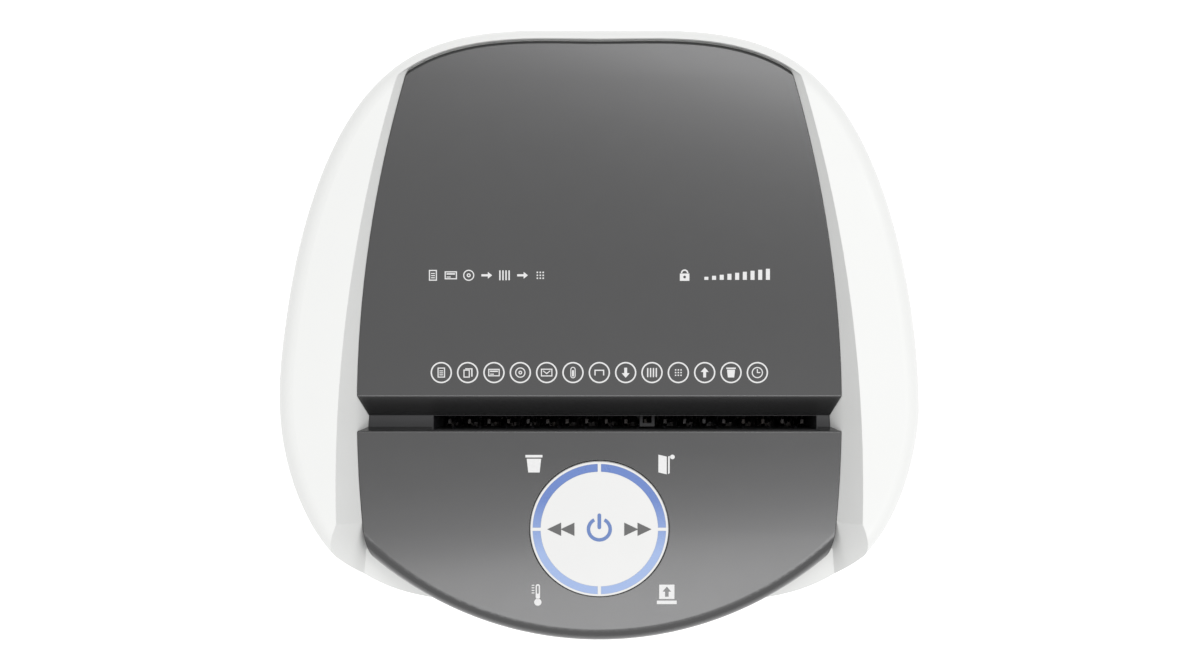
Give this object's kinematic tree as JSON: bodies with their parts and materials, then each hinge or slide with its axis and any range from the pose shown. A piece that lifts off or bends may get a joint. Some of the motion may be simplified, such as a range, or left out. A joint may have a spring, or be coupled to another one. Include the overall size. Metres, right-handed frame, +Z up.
{
  "type": "paper shredder",
  "caption": "Free-standing office paper shredder with a sloping dark top, a paper slot, a round touch control, a pull-out bin with a window and swivelling casters.",
  "frame": {"origin": "on the floor, at the middle of the object's bounding box", "axes": "+Z up, -Y towards the front (bin and control side), +X to the right seen from the front"},
  "size_m": [0.382, 0.369, 0.56],
  "materials": {
    "white_shell": "satin white ABS",
    "dark_cover": "dark grey satin plastic",
    "throat_black": "black matt plastic",
    "disc_white": "white satin touch panel with printed symbols",
    "ring_blue": "translucent blue light guide",
    "inner_plastic": "black structural plastic",
    "plate_steel": "zinc-plated sheet",
    "cutter_steel": "hardened steel, lightly oiled",
    "bronze": "sintered bronze",
    "comb_plastic": "natural nylon",
    "gear_steel": "sintered steel, dark",
    "motor_steel": "black painted steel",
    "rotor_steel": "laminated steel and copper",
    "fan_plastic": "black nylon",
    "board_green": "green circuit board",
    "socket_black": "black thermoset",
    "bin_smoke": "translucent smoke plastic",
    "window_smoke": "smoked clear plastic",
    "screw_steel": "bright zinc",
    "fork_black": "black nylon",
    "wheel_grey": "dark grey soft tread",
    "pedal_grey": "grey nylon"
  },
  "bodies": {
    "casing": {"head_shell": "white_shell", "rear_cover": "dark_cover", "control_fascia": "dark_cover", "paper_throat": "throat_black", "control_disc": "disc_white", "light_ring": "ring_blue", "head_base": "inner_plastic", "cutter_plate_left": "plate_steel", "cutter_plate_right": "plate_steel", "drum_bushes": "bronze", "tie_rods": "plate_steel", "frame_screws": "screw_steel", "stripper_comb_front": "comb_plastic", "stripper_comb_rear": "comb_plastic", "reduction_axle": "cutter_steel", "outer_gear_plate": "plate_steel", "gear_plate_posts": "plate_steel", "motor_can": "motor_steel", "motor_end_cap": "fan_plastic", "paper_sensor_bracket": "inner_plastic", "control_board": "board_green", "board_standoffs": "screw_steel", "power_board": "board_green", "power_inlet": "socket_black", "rocker_bezel": "socket_black", "cabinet_shell": "white_shell", "head_bridge": "inner_plastic", "base_tray": "dark_cover", "bin_switch": "socket_black", "caster_stems": "screw_steel"},
    "cutter_rear": {"cutter_drum_rear": "cutter_steel", "sync_gear_rear": "gear_steel", "drum_drive_gear": "gear_steel"},
    "cutter_front": {"cutter_drum_front": "cutter_steel", "sync_gear_front": "gear_steel"},
    "reduction": {"reduction_gear": "gear_steel"},
    "motor_rotor": {"motor_rotor": "rotor_steel", "motor_pinion": "gear_steel", "motor_fan": "fan_plastic"},
    "paper_lever": {"paper_sensor_lever": "throat_black"},
    "rocker": {"rocker_switch": "socket_black"},
    "bin": {"bin_tub": "bin_smoke", "bin_front": "white_shell", "window_bezel": "dark_cover", "bin_window": "window_smoke", "bin_grip": "dark_cover", "bin_screws": "screw_steel"},
    "switch_plunger": {"bin_switch_plunger": "pedal_grey"},
    "fork_front_left": {"caster_housing_front_left": "fork_black"},
    "wheels_front_left": {"caster_wheels_front_left": "wheel_grey"},
    "brake_front_left": {"caster_brake_front_left": "pedal_grey"},
    "fork_front_right": {"caster_housing_front_right": "fork_black"},
    "wheels_front_right": {"caster_wheels_front_right": "wheel_grey"},
    "brake_front_right": {"caster_brake_front_right": "pedal_grey"},
    "fork_rear_left": {"caster_housing_rear_left": "fork_black"},
    "wheels_rear_left": {"caster_wheels_rear_left": "wheel_grey"},
    "fork_rear_right": {"caster_housing_rear_right": "fork_black"},
    "wheels_rear_right": {"caster_wheels_rear_right": "wheel_grey"}
  },
  "joints": [
    {"name": "cutter_rear_spin", "type": "hinge", "parent": "casing", "child": "cutter_rear", "pos_m": [0, -0.038, 0.47094], "axis": [1, 0, 0], "continuous": true},
    {"name": "cutter_front_spin", "type": "hinge", "parent": "casing", "child": "cutter_front", "pos_m": [0, -0.066, 0.47094], "axis": [1, 0, 0], "continuous": true},
    {"name": "reduction_spin", "type": "hinge", "parent": "casing", "child": "reduction", "pos_m": [-0.13, 0.00484, 0.46338], "axis": [1, 0, 0], "continuous": true},
    {"name": "motor_spin", "type": "hinge", "parent": "casing", "child": "motor_rotor", "pos_m": [-0.05, 0.0407, 0.46025], "axis": [1, 0, 0], "continuous": true},
    {"name": "paper_lever_tilt", "type": "hinge", "parent": "casing", "child": "paper_lever", "pos_m": [0.029, -0.03575, 0.51494], "axis": [1, 0, 0], "range_deg": [0, 30], "stiffness_Nm_per_rad": 0.001, "springref_deg": -8.59},
    {"name": "rocker_tilt", "type": "hinge", "parent": "casing", "child": "rocker", "pos_m": [0.07944, 0.17631, 0.455], "axis": [0, 0, 1], "range_deg": [-22, 0]},
    {"name": "bin_slide", "type": "slide", "parent": "casing", "child": "bin", "axis": [0, -1, 0], "range_m": [0, 0.3]},
    {"name": "switch_plunger_slide", "type": "slide", "parent": "casing", "child": "switch_plunger", "axis": [0, -1, 0], "range_m": [0, 0.002]},
    {"name": "swivel_front_left", "type": "hinge", "parent": "casing", "child": "fork_front_left", "pos_m": [-0.124, -0.096, 0.04], "axis": [0, 0, 1], "continuous": true},
    {"name": "roll_front_left", "type": "hinge", "parent": "fork_front_left", "child": "wheels_front_left", "pos_m": [-0.124, -0.111, 0.019], "axis": [1, 0, 0], "continuous": true},
    {"name": "brake_tilt_front_left", "type": "hinge", "parent": "fork_front_left", "child": "brake_front_left", "pos_m": [-0.124, -0.13107, 0.03305], "axis": [1, 0, 0], "range_deg": [0, 20]},
    {"name": "swivel_front_right", "type": "hinge", "parent": "casing", "child": "fork_front_right", "pos_m": [0.124, -0.096, 0.04], "axis": [0, 0, 1], "continuous": true},
    {"name": "roll_front_right", "type": "hinge", "parent": "fork_front_right", "child": "wheels_front_right", "pos_m": [0.124, -0.111, 0.019], "axis": [1, 0, 0], "continuous": true},
    {"name": "brake_tilt_front_right", "type": "hinge", "parent": "fork_front_right", "child": "brake_front_right", "pos_m": [0.124, -0.13107, 0.03305], "axis": [1, 0, 0], "range_deg": [0, 20]},
    {"name": "swivel_rear_left", "type": "hinge", "parent": "casing", "child": "fork_rear_left", "pos_m": [-0.106, 0.112, 0.04], "axis": [0, 0, 1], "continuous": true},
    {"name": "roll_rear_left", "type": "hinge", "parent": "fork_rear_left", "child": "wheels_rear_left", "pos_m": [-0.106, 0.127, 0.019], "axis": [1, 0, 0], "continuous": true},
    {"name": "swivel_rear_right", "type": "hinge", "parent": "casing", "child": "fork_rear_right", "pos_m": [0.106, 0.112, 0.04], "axis": [0, 0, 1], "continuous": true},
    {"name": "roll_rear_right", "type": "hinge", "parent": "fork_rear_right", "child": "wheels_rear_right", "pos_m": [0.106, 0.127, 0.019], "axis": [1, 0, 0], "continuous": true}
  ],
  "couplings": [
    {"joint": "cutter_front_spin", "follows": "cutter_rear_spin", "ratio": -1},
    {"joint": "reduction_spin", "follows": "cutter_rear_spin", "ratio": -3.1429},
    {"joint": "motor_spin", "follows": "cutter_rear_spin", "ratio": 15.714},
    {"joint": "switch_plunger_slide", "follows": "bin_slide", "ratio": 0.0066667}
  ]
}
